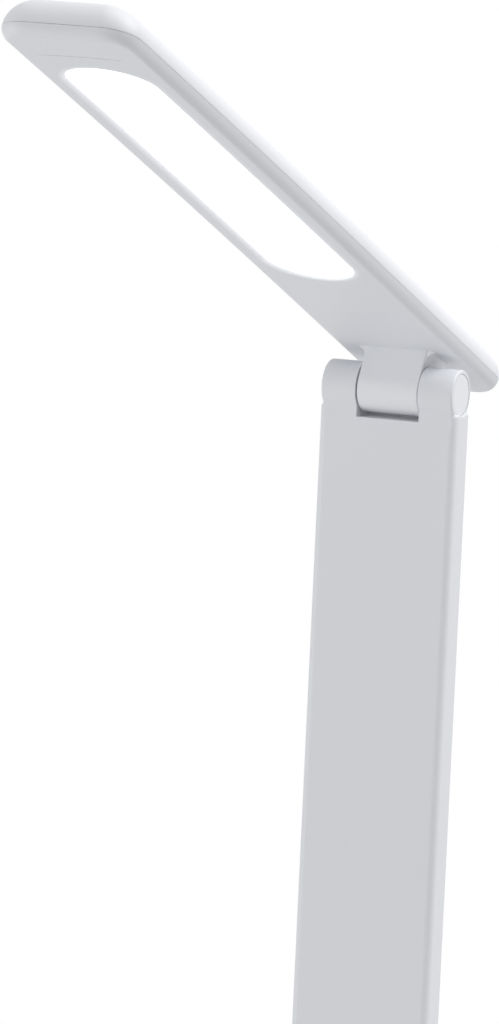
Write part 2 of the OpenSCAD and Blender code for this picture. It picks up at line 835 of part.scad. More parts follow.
module hinge_post() {
    color(shell_white) difference() {
        union() {
            post_place() knuckle_body(neck_back, neck_back, post_drop);
            translate([0, pivot_y, base_ceiling]) linear_extrude(post_top - base_ceiling)
                rounded_rect(post_size[0], post_size[1], post_corner_r);
            translate([0, pivot_y, ballast_top]) linear_extrude(base_ceiling - ballast_top)
                rounded_rect(foot_size[0], foot_size[1], post_corner_r);
        }
        post_place() knuckle_bores(pivot_z - ballast_top + past);
        translate([-lead_way_r, pivot_y - foot_size[1], ballast_top - past])
            cube([2 * lead_way_r, foot_size[1], post_slot_h + past]);
        post_screw_places() translate([0, 0, ballast_top - past])
            cylinder(r = screw_r + running_gap, h = base_ceiling - ballast_top);
    }
}

module post_screws() {
    color(steel) post_screw_places() translate([0, 0, plate_top + fit_gap / 2])
        screw(ballast_t - screw_head_h + base_ceiling - ballast_top - past - fit_gap);
}

module control_board() {
    color(board_green) difference() {
        translate([-board_size[0] / 2, board_mid - board_size[1] / 2, board_top - board_size[2]])
            cube(board_size);
        board_screw_places() translate([0, 0, board_top - board_size[2] - past])
            cylinder(r = screw_r + running_gap, h = board_size[2] + 2 * past);
    }
}

module board_parts() {
    color("dimgray") translate([0, board_mid, board_top]) {
        translate(chip_at) cube(chip_size);
        translate(can_at) cylinder(r = can_r, h = can_h);
        for (y = resistor_at[1]) translate([resistor_at[0], y, 0]) cube(resistor_size);
        translate(plug_at) cube(plug_size);
    }
}

module board_screws() {
    color(steel) board_screw_places() translate([0, 0, board_top - board_size[2] - screw_head_h])
        screw(board_size[2] + base_ceiling - board_top - past);
}

module tact_switch() {
    color("dimgray") translate([0, -button_y, board_top]) {
        translate([-switch_body[0] / 2, -switch_body[1] / 2, 0]) cube(switch_body);
        cylinder(r = 1.7, h = switch_top - board_top);
    }
}

module power_button() {
    color(shell_white) translate([0, -button_y, 0]) {
        translate([0, 0, button_flange_z]) cylinder(r = button_flange[0], h = button_flange[1]);
        translate([0, 0, button_flange_z]) cylinder(r = button_r, h = base_h + button_rise - button_flange_z);
        translate([0, 0, plunger_z]) cylinder(r = 2, h = button_flange_z - plunger_z + past);
    }
}

module button_spring() {
    steps = 16 * spring_turns;
    low = board_top + spring_wire_r;
    rise = button_flange_z - board_top - 2 * spring_wire_r - face_gap;
    path = [for (i = [0 : steps]) [spring_r * cos(360 * spring_turns * i / steps),
        spring_r * sin(360 * spring_turns * i / steps), low + rise * i / steps]];
    color(steel) translate([0, -button_y, 0]) sweep(path, spring_wire_r, [0, 0, 1]);
}

module socket_place() {
    translate([socket_x, base_d / 2 + socket_rim_t, socket_z]) rotate([90, 0, 0]) children();
}

module dc_socket() {
    color("dimgray") socket_place() {
        difference() {
            union() {
                cylinder(r = socket_rim_r, h = socket_rim_t);
                cylinder(r = socket_nose_r, h = socket_len);
            }
            translate([0, 0, -past]) cylinder(r = socket_mouth_r, h = socket_mouth_len + past);
        }
        translate([0, 0, fit_gap]) cylinder(r = socket_pin_r, h = socket_len - past);
    }
}

module socket_nut() {
    color(steel) socket_place() translate([0, 0, socket_rim_t + base_wall + socket_seat_t]) difference() {
        hex(socket_nut_af, socket_nut_t);
        translate([0, 0, -past]) cylinder(r = socket_nose_r + running_gap, h = socket_nut_t + 2 * past);
    }
}

module base_lead() {
    over = ballast_top + lead_r + 3 * fit_gap;
    out = board_top + plug_size[2] + lead_r + fit_gap;
    path = [[base_lead_x, board_mid + 8, out], [base_lead_x, board_mid + 14, out],
        [base_lead_x - 3, board_mid + 24, over + 2.7],
        [base_lead_x - 11, ballast_front + 17, over], [0, ballast_front + 41, over],
        [0, pivot_y - 20, over], [0, pivot_y - 6, over],
        [0, pivot_y - 1.2, over + 0.3], [0, pivot_y, over + 1.6], [0, pivot_y, over + 6],
        [0, pivot_y, pivot_z - 6], [0, pivot_y, pivot_z - 2], [-0.35, pivot_y, pivot_z - 0.5],
        [-1.6, pivot_y, pivot_z], [-4, pivot_y, pivot_z], [-9, pivot_y, pivot_z],
        [-shaft_left + fit_gap / 2, pivot_y, pivot_z]];
    color(lead_white) sweep(smooth(path, 3), lead_r, [1, 0.9, 0.2]);
}

module socket_lead() {
    over = ballast_top + lead_r + 3 * fit_gap;
    tail = base_d / 2 + socket_rim_t - socket_len - lead_r / 2;
    out = board_top + plug_size[2] + lead_r + fit_gap;
    path = [[socket_x, tail, socket_z], [socket_x, tail - 4, socket_z + 0.4],
        [socket_x, ballast_mid + 22, over], [socket_x - 4, ballast_mid - 18, over],
        [socket_x - 10, ballast_front + 11, over + 0.5], [socket_lead_x, board_mid + 24, over + 3.1],
        [socket_lead_x, board_mid + 14, out], [socket_lead_x, board_mid + 8, out]];
    color("dimgray") sweep(smooth(path, 3), lead_r, [1, 0.3, 0.2]);
}

head_upper_shell();
head_lower_shell();
diffuser();
reflector_frame();
led_board();
leds();
led_board_screws();
head_knuckle();
knuckle_plate();
knuckle_screws();
head_lead();
upper_hinge_shaft();
upper_hinge_washers();
upper_hinge_nut();
upper_hinge_caps();
arm_shell();
arm_cover();
arm_stiffener();
arm_screws();
arm_lead();
lower_hinge_shaft();
lower_hinge_washers();
lower_hinge_nut();
lower_hinge_caps();
base_cover();
base_plate();
base_pad();
base_screws();
ballast_plate();
ballast_screws();
hinge_post();
post_screws();
control_board();
board_parts();
board_screws();
tact_switch();
power_button();
button_spring();
dc_socket();
socket_nut();
base_lead();
socket_lead();
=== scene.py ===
# %% [markdown]
# # A folding LED desk lamp
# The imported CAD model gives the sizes, the joints and the inner pieces. This script gives each
# piece that is seen its finished surface, its material and its light.
# Lengths in the cells below are in millimetres, as a maker measures them. Blender's unit is the
# metre, so each piece is scaled down when it is placed.

import math

import bmesh
import bpy
from mathutils import Matrix, Vector


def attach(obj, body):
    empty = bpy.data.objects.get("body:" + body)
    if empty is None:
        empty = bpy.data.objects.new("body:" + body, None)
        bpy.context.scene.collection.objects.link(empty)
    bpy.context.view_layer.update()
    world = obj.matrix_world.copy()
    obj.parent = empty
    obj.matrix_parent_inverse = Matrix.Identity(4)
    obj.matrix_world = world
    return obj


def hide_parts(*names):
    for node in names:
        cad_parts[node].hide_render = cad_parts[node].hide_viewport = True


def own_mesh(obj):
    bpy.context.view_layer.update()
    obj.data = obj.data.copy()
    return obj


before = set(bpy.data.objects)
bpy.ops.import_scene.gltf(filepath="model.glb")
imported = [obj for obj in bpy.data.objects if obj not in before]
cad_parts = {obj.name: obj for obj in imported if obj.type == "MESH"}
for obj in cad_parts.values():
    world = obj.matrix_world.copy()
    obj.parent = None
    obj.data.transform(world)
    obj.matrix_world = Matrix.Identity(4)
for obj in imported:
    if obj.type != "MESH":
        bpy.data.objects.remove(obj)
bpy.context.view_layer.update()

# %% [markdown]
# The arm leans back on the base, and the head rises from the arm's top. Every point could be
# worked out in the room's coordinates, but slanted numbers are hard to read.
# So each body gets a frame with its hinge at the origin. A piece is modelled straight in that
# frame, and the frame's matrix carries it to its place.

# %% Frames of the arm and the head
ARM_LEAN, HEAD_RISE = 6.7, 29.0  # degrees behind the vertical, and over the level
ARM_LEN = 272.0  # from hinge axis to hinge axis
LOWER_HINGE = Vector((0, 62, 43))
TO_METRES = Matrix.Scale(0.001, 4)

base_frame = Matrix.Identity(4)
arm_frame = Matrix.Translation(LOWER_HINGE) @ Matrix.Rotation(math.radians(-ARM_LEAN), 4, "X")
head_frame = (arm_frame @ Matrix.Translation((0, 0, ARM_LEN))
              @ Matrix.Rotation(math.radians(ARM_LEAN - HEAD_RISE), 4, "X"))
print("upper hinge at", [round(v, 2) for v in head_frame.translation])

# %% [markdown]
# A product is often photographed from far away with a long lens, so that its parallel edges stay
# nearly parallel. A near camera with a short lens could show the same lamp, but the arm would
# spread towards the viewer.
# The direction, the distance and the lens here come from a fit of about ninety points on the
# edges of the arm, the hinge and the head.

# %% Camera
AZIMUTH, ELEVATION = math.radians(23.339), math.radians(13.156)
HINGE_TO_LENS = (-39.5, -33.05, 2298.2)  # to the right, up and back from the upper hinge
LENS_PIXELS, PICTURE_HEIGHT, SENSOR = 8514, 1024, 36

right = Vector((math.cos(AZIMUTH), math.sin(AZIMUTH), 0))
back = Vector((math.sin(AZIMUTH) * math.cos(ELEVATION),
               -math.cos(AZIMUTH) * math.cos(ELEVATION), math.sin(ELEVATION)))
up = back.cross(right)
across, above, away = HINGE_TO_LENS
eye = head_frame.translation + across * right + above * up + away * back

camera = bpy.data.objects.new("camera", bpy.data.cameras.new("camera"))
bpy.context.scene.collection.objects.link(camera)
camera.matrix_world = Matrix((right, up, back)).transposed().to_4x4()
camera.location = TO_METRES @ eye
camera.data.sensor_fit = "VERTICAL"
camera.data.sensor_height = SENSOR
camera.data.lens = LENS_PIXELS * SENSOR / PICTURE_HEIGHT
camera.data.clip_end = 20
bpy.context.scene.camera = camera
print("camera at", [round(v, 3) for v in camera.location], "lens", round(camera.data.lens, 1))

# %% [markdown]
# The head, the arm and the base change their outline slowly from level to level, like a stack
# of slices. A cube with many modifiers could come close, but a few measured rings say exactly
# where the surface runs.
# One face is extruded from ring to ring, and each new face takes the next ring's points.

# %% Rings to meshes
def as_object(name, bm):
    """Ends a bmesh: its faces point outwards, and its mesh becomes an object."""
    bmesh.ops.recalc_face_normals(bm, faces=bm.faces)
    mesh = bpy.data.meshes.new(name)
    bm.to_mesh(mesh)
    bm.free()
    obj = bpy.data.objects.new(name, mesh)
    bpy.context.scene.collection.objects.link(obj)
    return obj


def loft(name, rings, closed=False):
    """Extrudes a face from ring to ring. The ends are capped unless the piece closes on itself."""
    bm = bmesh.new()
    face = bm.faces.new([bm.verts.new(p) for p in rings[0]])
    first = face.edges[:]
    for ring in rings[1:]:
        face = bmesh.ops.extrude_discrete_faces(bm, faces=[face])["faces"][0]
        for v, p in zip(face.verts, ring):
            v.co = p
    if closed:
        last = face.edges[:]
        bmesh.ops.delete(bm, geom=[face], context="FACES_ONLY")
        bmesh.ops.bridge_loops(bm, edges=first + last)
    else:
        bmesh.ops.contextual_create(bm, geom=first)
    return as_object(name, bm)

# %% [markdown]
# Nearly every outline on this lamp is a rectangle with round corners. Its corner points could be
# worked out with sines and cosines, but a bevel already knows how.
# A flat grid of one face gets its four corners bevelled, as one would do by hand in Edit Mode,
# and its points are then read off in order.

# %% Outlines with round corners
def rounded(width, length, radius, mid=0.0, steps=12):
    """The outline of a plate whose four corners are bevelled round, as points (x, y) in order."""
    bm = bmesh.new()
    plate = Matrix.Translation((0, mid, 0)) @ Matrix.Diagonal((width, length, 1, 1))
    bmesh.ops.create_grid(bm, x_segments=1, y_segments=1, size=0.5, matrix=plate)
    bmesh.ops.bevel(bm, geom=bm.verts[:], offset=radius, offset_type="OFFSET", segments=steps,
                    profile=0.5, affect="VERTICES", material=-1)
    bm.faces.ensure_lookup_table()
    points = [(v.co.x, v.co.y) for v in bm.faces[0].verts]
    bm.free()
    return points


def at_z(points, z):
    return [Vector((x, y, z)) for x, y in points]


print("points in a plate's outline:", len(rounded(40, 20, 4)))

# %% [markdown]
# Caps, screws, the button and the inlet are turned pieces: half of a section, spun round an axis.
# Pins and holes are plain rods, and notches are plain blocks. A lathe, a saw and a mill would make
# them, so one helper stands for each.
# Everything round is made along z first and then aimed along the axis that the piece needs.

# %% Turned pieces, rods and blocks
AIM = {"X": Matrix.Rotation(math.radians(90), 4, "Y"),
       "Y": Matrix.Rotation(math.radians(-90), 4, "X"),
       "Z": Matrix.Identity(4)}


def turned(name, profile, axis, at=(0, 0, 0), steps=48):
    """Spins a line of (radius, distance) points round an axis and closes both ends."""
    bm = bmesh.new()
    line = [bm.verts.new((r, 0, d)) for r, d in profile]
    line += [bm.edges.new(pair) for pair in zip(line, line[1:])]
    bmesh.ops.spin(bm, geom=line, cent=(0, 0, 0), axis=(0, 0, 1), dvec=(0, 0, 0),
                   angle=math.tau, steps=steps, use_merge=True, use_duplicate=False)
    bmesh.ops.holes_fill(bm, edges=bm.edges[:], sides=0)
    bmesh.ops.transform(bm, matrix=Matrix.Translation(at) @ AIM[axis], verts=bm.verts[:])
    return as_object(name, bm)


def rod(name, radius, start, end, axis="X", at=(0, 0, 0), steps=48):
    bm = bmesh.new()
    middle = Matrix.Translation((0, 0, (start + end) / 2))
    bmesh.ops.create_cone(bm, cap_ends=True, segments=steps, radius1=radius, radius2=radius,
                          depth=abs(end - start),
                          matrix=Matrix.Translation(at) @ AIM[axis] @ middle)
    return as_object(name, bm)


def box(name, low, high, radius):
    """A block from one corner to the other, with its upright edges rounded."""
    bm = bmesh.new()
    size, mid = Vector(high) - Vector(low), (Vector(high) + Vector(low)) / 2
    bmesh.ops.create_cube(bm, size=1,
                          matrix=Matrix.Translation(mid) @ Matrix.Diagonal((*size, 1)))
    upright = [e for e in bm.edges if abs(e.verts[0].co.z - e.verts[1].co.z) > size.z / 2]
    bmesh.ops.bevel(bm, geom=upright, offset=radius, offset_type="OFFSET", segments=4,
                    profile=0.5, affect="EDGES", material=-1)
    return as_object(name, bm)

# %% [markdown]
# Holes and notches could be modelled face by face. A Boolean modifier cuts them as a mill would,
# and keeps the cutter's exact size.
# A moulded edge is never quite sharp, so a Bevel modifier then breaks it, and it catches a thin
# line of light. Each modifier is applied at once, so the next one works on a plain mesh.

# %% Cutting, joining and rounding
def baked(obj):
    """Applies the object's modifiers to its mesh."""
    bpy.context.view_layer.update()
    made = obj.evaluated_get(bpy.context.evaluated_depsgraph_get())
    mesh = bpy.data.meshes.new_from_object(made)
    obj.modifiers.clear()
    obj.data = mesh
    return obj


def boolean(obj, others, operation="DIFFERENCE"):
    for other in others:
        m = obj.modifiers.new("cut", "BOOLEAN")
        m.operation, m.solver, m.object = operation, "EXACT", other
        baked(obj)
        bpy.data.objects.remove(other)
    return obj


def bevelled(obj, width, segments, angle):
    """Rounds the edges whose faces meet at more than the angle, in degrees."""
    m = obj.modifiers.new("bevel", "BEVEL")
    m.width, m.segments, m.limit_method = width, segments, "ANGLE"
    m.angle_limit, m.use_clamp_overlap = math.radians(angle), True
    return baked(obj)


def joined(name, pieces):
    """One object from several pieces that are moulded or sold together."""
    bm = bmesh.new()
    for piece in pieces:
        bm.from_mesh(piece.data)
        bpy.data.objects.remove(piece)
    return as_object(name, bm)

# %% [markdown]
# A finished piece is shaded smooth, with sharp edges where two faces meet steeply. Weighted
# normals keep a flat face flat right up to its rounded edge.
# The object could be moved to its place, but here its mesh is moved and the object stays at the
# origin, as the CAD pieces do. The piece then rides on its body, so that the joints carry it, and
# stands in for the CAD nodes that it covers.

# %% Placing a finished piece
SHARP = math.radians(32)


def place(obj, place_in, material, body, slot, *nodes):
    """Shades the piece, moves its mesh into the part's frame and ties it to its body."""
    size = [round(v, 1) for v in obj.dimensions]
    mesh = obj.data
    mesh.transform(TO_METRES @ place_in)
    mesh.shade_smooth()
    mesh.set_sharp_from_angle(angle=SHARP)
    m = obj.modifiers.new("normals", "WEIGHTED_NORMAL")
    m.keep_sharp = True
    baked(obj)
    obj.data.materials.clear()
    obj.data.materials.append(material)
    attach(obj, body)
    if nodes:
        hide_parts(*nodes)
    print(obj.name, "on", body, "faces:", len(obj.data.polygons), "size in its frame:", size)
    return obj

# %% [markdown]
# Moulded plastic looks even, but its tone and gloss drift a little, and a fine grain in the mould
# softens every reflection. A picture of plastic could be wrapped round each piece, but it would
# need unwrapping and could show seams.
# Noise on the piece's own coordinates has neither problem, so all materials here are built on it:
# one slow noise for the tone, and one fine noise for the gloss and the grain.

# %% Material helpers
NOISE_MIDDLE = (0.3, 0.7)  # most of a noise's values lie between these
TONE_SCALE, TONE_DETAIL = 14, 3
GLOSSIER, DULLER = 0.04, 0.05  # how far the roughness strays
GRAIN_STRENGTH, IOR = 0.35, 1.46


def nodes_of(name):
    material = bpy.data.materials.new(name)
    material.use_nodes = True
    tree = material.node_tree
    return material, tree.nodes, tree.links, tree.nodes["Principled BSDF"]


def noise(nodes, links, scale, detail=2.0, stretch=(1, 1, 1)):
    coordinates = nodes.new("ShaderNodeTexCoord")
    mapping = nodes.new("ShaderNodeMapping")
    mapping.inputs["Scale"].default_value = stretch
    texture = nodes.new("ShaderNodeTexNoise")
    texture.inputs["Scale"].default_value = scale
    texture.inputs["Detail"].default_value = detail
    links.new(coordinates.outputs["Object"], mapping.inputs["Vector"])
    links.new(mapping.outputs["Vector"], texture.inputs["Vector"])
    return texture


def spread(nodes, links, source, low, high):
    """Stretches the middle of a noise over a range."""
    ranged = nodes.new("ShaderNodeMapRange")
    ranged.inputs["From Min"].default_value = NOISE_MIDDLE[0]
    ranged.inputs["From Max"].default_value = NOISE_MIDDLE[1]
    ranged.inputs["To Min"].default_value = low
    ranged.inputs["To Max"].default_value = high
    links.new(source.outputs["Fac"], ranged.inputs["Value"])
    return ranged.outputs["Result"]


def two_tones(nodes, links, source, first, second):
    """Drifts from one tone to the other with a noise."""
    mix = nodes.new("ShaderNodeMix")
    mix.data_type = "RGBA"
    mix.inputs["A"].default_value = (*first, 1)
    mix.inputs["B"].default_value = (*second, 1)
    links.new(spread(nodes, links, source, 0, 1), mix.inputs["Factor"])
    return mix.outputs["Result"]


def grained(name, colour, darker, roughness, grain=2600, depth=0.00001, metal=0.0,
            stretch=(1, 1, 1), coat=0.0):
    """Plastic, rubber or metal. The grain's depth is in metres."""
    material, nodes, links, shader = nodes_of(name)
    slow = noise(nodes, links, TONE_SCALE, TONE_DETAIL, stretch)
    links.new(two_tones(nodes, links, slow, darker, colour), shader.inputs["Base Color"])
    fine = noise(nodes, links, grain, stretch=stretch)
    links.new(spread(nodes, links, fine, roughness - GLOSSIER, roughness + DULLER),
              shader.inputs["Roughness"])
    bump = nodes.new("ShaderNodeBump")
    bump.inputs["Strength"].default_value = GRAIN_STRENGTH
    bump.inputs["Distance"].default_value = depth
    links.new(fine.outputs["Fac"], bump.inputs["Height"])
    links.new(bump.outputs["Normal"], shader.inputs["Normal"])
    shader.inputs["Metallic"].default_value = metal
    shader.inputs["IOR"].default_value = IOR
    shader.inputs["Coat Weight"].default_value = coat
    return material

# %% [markdown]
# The lamp is moulded in a cool satin white. Pure white would clip in the light and lose its
# shape, so the colour stays well under it, with a touch of blue.

# %% White plastic
SATIN_GRAIN = 0.000004
white = grained("white_satin_plastic", (0.778, 0.792, 0.825), (0.766, 0.78, 0.814),
                roughness=0.5, depth=SATIN_GRAIN)
print("material:", white.name)

# %% [markdown]
# The head is two thin shells that meet at a fine seam round its side. They could be one solid with
# a groove, but a real moulding has two parts, and their rounded rims draw a true dark line.
# The long head also bows by less than a millimetre. A Simple Deform modifier could bend it, but
# it would turn the ends, so the mesh is cut across its length and its middle is lifted.

# %% Head outline and bow
HEAD_W, HEAD_FRONT, HEAD_BACK, CORNER = 37.2, 254.4, 32.4, 8.7
UNDER, SEAM, CROWN = 9.8, 12.8, 20.6  # heights of the underside, the seam and the top
HEAD_LEN, HEAD_MID = HEAD_FRONT + HEAD_BACK, (HEAD_BACK - HEAD_FRONT) / 2
BOW, BOW_PIECES = 0.7, 48
SHELL_WALL = 1.5
SEAM_RIM = [(0.18, 0.02), (0.06, 0.06)]  # how far in, and how far from the seam


def bowed(obj):
    """Cuts the mesh across its length and lifts its middle a little."""
    bm = bmesh.new()
    bm.from_mesh(obj.data)
    for k in range(1, BOW_PIECES):
        y = HEAD_BACK - HEAD_LEN * k / BOW_PIECES
        bmesh.ops.bisect_plane(bm, geom=bm.verts[:] + bm.edges[:] + bm.faces[:],
                               plane_co=(0, y, 0), plane_no=(0, 1, 0))
    for v in bm.verts:
        v.co.z += BOW * (1 - ((v.co.y - HEAD_MID) / (HEAD_LEN / 2)) ** 2)
    bm.to_mesh(obj.data)
    bm.free()
    return obj


def head_ring(side, end, z):
    """The head's outline, drawn in from its sides and its ends."""
    radius = max(CORNER - min(side, end), 1)  # the corners never get sharp
    return at_z(rounded(HEAD_W - 2 * side, HEAD_LEN - 2 * end, radius, HEAD_MID), z)


print("head:", HEAD_LEN, "x", HEAD_W, "x", round(CROWN - UNDER, 1))

# %% [markdown]
# The upper shell is a crowned cover, a little steeper at its ends than at its sides. It could be
# a bevelled box, but then the crown would have the same round all along.
# It is one closed mesh here: its outer rings from the top down, its rounded rim at the seam, and
# its inner rings back up, so it has a true wall.

# %% Upper shell
CROWN_SIDE, CROWN_END = 8.8, 6.7  # how far the crown draws in at the sides and the ends


def dome(wall, steps=16):
    rings = []
    for i in range(steps + 1):
        t = math.radians(90 * i / steps)
        rings.append(head_ring(wall + CROWN_SIDE * (1 - math.cos(t)),
                               wall + CROWN_END * (1 - math.cos(t)),
                               SEAM + (CROWN - SEAM - wall) * math.sin(t)))
    return rings


rim = [head_ring(inset, inset, SEAM + rise) for inset, rise in SEAM_RIM]
rim.append(head_ring(0.01, 0.01, SEAM + 0.25))
inside = [head_ring(SHELL_WALL, SHELL_WALL, SEAM + 0.02)] + dome(SHELL_WALL)[1:]
upper = loft("head_upper_shell_skin", dome(0)[:0:-1] + rim[::-1] + inside)
bowed(upper)
place(upper, head_frame, white, "head", "shell", "head_upper_shell")

# %% [markdown]
# The lower shell carries the long window with round ends and a lip that finds the upper shell.
# The window could be cut with a Boolean, but as one more set of rings it keeps an even chamfer.
# The shell's lower edge is neither a plain chamfer nor a plain round. It is a blend of both and
# reaches further in at the ends, which gives the soft change of tone along the side.

# %% Lower shell
WINDOW_W, WINDOW_LEN, WINDOW_START = 24.0, 166.0, 63.4
WINDOW_MID = WINDOW_START + WINDOW_LEN / 2
EDGE_RISE, EDGE_END, EDGE_SIDE = 2.9, 2.6, 1.0
UNDER_WALL, LIP_RISE, LIP_OUTER, LIP_INNER = 1.6, 0.9, 1.7, 2.7


def window_ring(grow, z):
    w = WINDOW_W + 2 * grow
    return at_z(rounded(w, WINDOW_LEN + 2 * grow, w / 2 - 0.01, -WINDOW_MID), z)


edge = []
for i in range(11):
    t = math.radians(90 * i / 10)
    end = EDGE_END * (1 - math.sin(t)) ** 1.1
    side = EDGE_SIDE * (1 - (1 - math.cos(t)) ** 0.8) + end / 2
    edge.append(head_ring(side, end, UNDER + EDGE_RISE * (1 - math.cos(t))))
rim = [head_ring(inset, inset, SEAM - drop) for inset, drop in SEAM_RIM]
chamfer = [(0.5, 0), (0.42, 0.03), (0.05, 0.45), (0, 0.55), (0, UNDER_WALL)]
lip = [(LIP_INNER, UNDER + UNDER_WALL), (LIP_INNER, SEAM + LIP_RISE),
       (LIP_OUTER, SEAM + LIP_RISE), (LIP_OUTER, SEAM - 0.02)]
lower = loft("head_lower_shell_skin",
             rim + edge[::-1] + [window_ring(grow, UNDER + z) for grow, z in chamfer]
             + [head_ring(inset, inset, z) for inset, z in lip], closed=True)
print("lower shell before its groove:", len(lower.data.vertices), "vertices")

# %% [markdown]
# A fine curved line crosses the underside between the window and the free end. It could be
# painted, but a true groove catches the light from any side.
# Its cutter is a thin blade, extruded along a slight curve. It goes deepest in the middle, so
# both ends of the line fade out.

# %% The fine line near the free end
LINE_LEFT, LINE_LEN, LINE_Y, LINE_STEPS = -12.0, 23.0, -238.4, 24
LINE_HALF, LINE_DEPTH, LINE_SAG = 0.2, 0.36, 0.5

blade = []
for k in range(LINE_STEPS + 1):
    x = LINE_LEFT + LINE_LEN * k / LINE_STEPS
    u = (x - LINE_LEFT) / (LINE_LEN / 2) - 1  # from -1 to 1 along the line
    y = LINE_Y + LINE_SAG * u * u
    deep = UNDER + LINE_DEPTH * math.sqrt(max(1 - u * u, 0.02))
    blade.append([Vector((x, y - LINE_HALF, UNDER - 1)), Vector((x, y + LINE_HALF, UNDER - 1)),
                  Vector((x, y + LINE_HALF, deep)), Vector((x, y - LINE_HALF, deep))])
boolean(lower, [loft("line_cutter", blade)])
bowed(lower)
print("lower shell with its groove:", len(lower.data.vertices), "vertices")

# %% [markdown]
# Light seeps into the white plastic round the window, so its rim glows for about two millimetres.
# A separate glowing ring could be added, but it would show an edge.
# Instead the shader works out how far each point lies from the window, and the glow fades with
# that distance. The Mapping node turns the piece's coordinates into the head's own frame.

# %% Plastic that glows near the window
COOL_LIGHT = (0.97, 0.985, 1)
SPILL, SPILL_FROM, SPILL_TO = 0.12, 0.3, 2.4

near_glow = white.copy()
near_glow.name = "white_plastic_round_the_light"
near_glow.cycles.emission_sampling = "NONE"
nodes, links = near_glow.node_tree.nodes, near_glow.node_tree.links
turn = Matrix.Rotation(math.radians(HEAD_RISE), 3, "X")
local = nodes.new("ShaderNodeMapping")
local.inputs["Scale"].default_value = (1000, 1000, 1000)
local.inputs["Rotation"].default_value = (math.radians(HEAD_RISE), 0, 0)
local.inputs["Location"].default_value = (Vector((0, WINDOW_MID, 0))
                                          - turn @ head_frame.translation)
where = nodes.new("ShaderNodeTexCoord")
split = nodes.new("ShaderNodeSeparateXYZ")
links.new(where.outputs["Object"], local.inputs["Vector"])
links.new(local.outputs["Vector"], split.inputs["Vector"])


def calculated(operation, a, b=0.0):
    """A Math node whose inputs are numbers or other nodes' outputs."""
    node = nodes.new("ShaderNodeMath")
    node.operation = operation
    for socket, value in zip(node.inputs, (a, b)):
        if isinstance(value, (int, float)):
            socket.default_value = value
        else:
            links.new(value, socket)
    return node.outputs[0]


past_straight = calculated("SUBTRACT", calculated("ABSOLUTE", split.outputs["Y"]),
                           (WINDOW_LEN - WINDOW_W) / 2)
along = calculated("MAXIMUM", past_straight, 0)
aside = calculated("ABSOLUTE", split.outputs["X"])
squares = calculated("ADD", calculated("POWER", aside, 2), calculated("POWER", along, 2))
from_window = calculated("SUBTRACT", calculated("SQRT", squares), WINDOW_W / 2)
spill = nodes.new("ShaderNodeMapRange")
spill.interpolation_type = "SMOOTHERSTEP"
spill.inputs["From Min"].default_value = SPILL_FROM
spill.inputs["From Max"].default_value = SPILL_TO
spill.inputs["To Min"].default_value = SPILL
spill.inputs["To Max"].default_value = 0.0
links.new(from_window, spill.inputs["Value"])
shader = nodes["Principled BSDF"]
shader.inputs["Emission Color"].default_value = (*COOL_LIGHT, 1)
links.new(spill.outputs["Result"], shader.inputs["Emission Strength"])
place(lower, head_frame, near_glow, "head", "shell", "head_lower_shell")

# %% [markdown]
# The diffuser is an opal plate behind the window. Lit chips behind a real translucent plate would
# render slowly and with noise, and to the eye the plate is an even sheet of light.
# So the plate itself glows. It isn't sampled as a lamp, because its small share of the light
# would only bring speckle.

# %% Diffuser
LIT_SCALE = 60


def lit(name, colour, strength, tint):
    material, nodes, links, shader = nodes_of(name)
    slow = noise(nodes, links, LIT_SCALE)
    links.new(two_tones(nodes, links, slow, tint, colour), shader.inputs["Emission Color"])
    shader.inputs["Base Color"].default_value = (*colour, 1)
    shader.inputs["Emission Strength"].default_value = strength
    shader.inputs["Roughness"].default_value = 0.45
    material.cycles.emission_sampling = "NONE"
    return material


glow = lit("diffuser_glow", (1, 1, 1), strength=1.4, tint=COOL_LIGHT)
PANEL_GAP, FLANGE = 0.1, 1.9
face = [(0.25, 0.6), (0.08, 0.66), (0, 0.8), (0, 1.55)]  # how far in, and the height over UNDER
panel_rings = [window_ring(-PANEL_GAP - inset, UNDER + z) for inset, z in face]
panel_rings += [window_ring(FLANGE, UNDER + z) for z in (UNDER_WALL, UNDER_WALL + 1)]
diffuser = bowed(loft("diffuser_panel", panel_rings))
place(diffuser, head_frame, glow, "head", "diffuser", "diffuser")

# %% [markdown]
# Both hinges have the same knuckle: a barrel round the shaft and a neck with a fillet on each
# side, where it spreads into what it stands on. A cylinder joined to a block would leave creases.
# Here one outline runs down the neck, tangent to the barrel and round it, and is extruded across
# the hinge. The fillets are two slices beside the neck. The parts that rub on each other get a
# glossier white, which is also painted lighter than the rest: painted light that brightens them
# in the shade around the hinges.

# %% Knuckles
KNUCKLE_HALF, KNUCKLE_R = 8.8, 6.6
FLARE_OUT, FLARE_DOWN, FLARE_INSET = 2.2, 3.0, 0.25
NECK_ROOT, FLARE_ROOT = 0.9, 0.6  # how far they sink into what carries them


def knuckle(name, front, rear, height):
    """The barrel and its neck. The neck's faces leave the barrel at its tangents."""
    start = math.atan2(height, -front) + math.acos(KNUCKLE_R / math.hypot(front, height))
    stop = (math.atan2(height, rear) - math.acos(KNUCKLE_R / math.hypot(rear, height))
            + math.tau)
    profile = [(-front, height + NECK_ROOT), (-front, height)]
    for k in range(41):
        t = start + (stop - start) * k / 40
        profile.append((KNUCKLE_R * math.cos(t), KNUCKLE_R * math.sin(t)))
    profile += [(rear, height), (rear, height + NECK_ROOT)]
    body = loft(name, [[Vector((x, y, z)) for y, z in profile]
                       for x in (-KNUCKLE_HALF, KNUCKLE_HALF)])
    return bevelled(body, width=0.4, segments=3, angle=40)


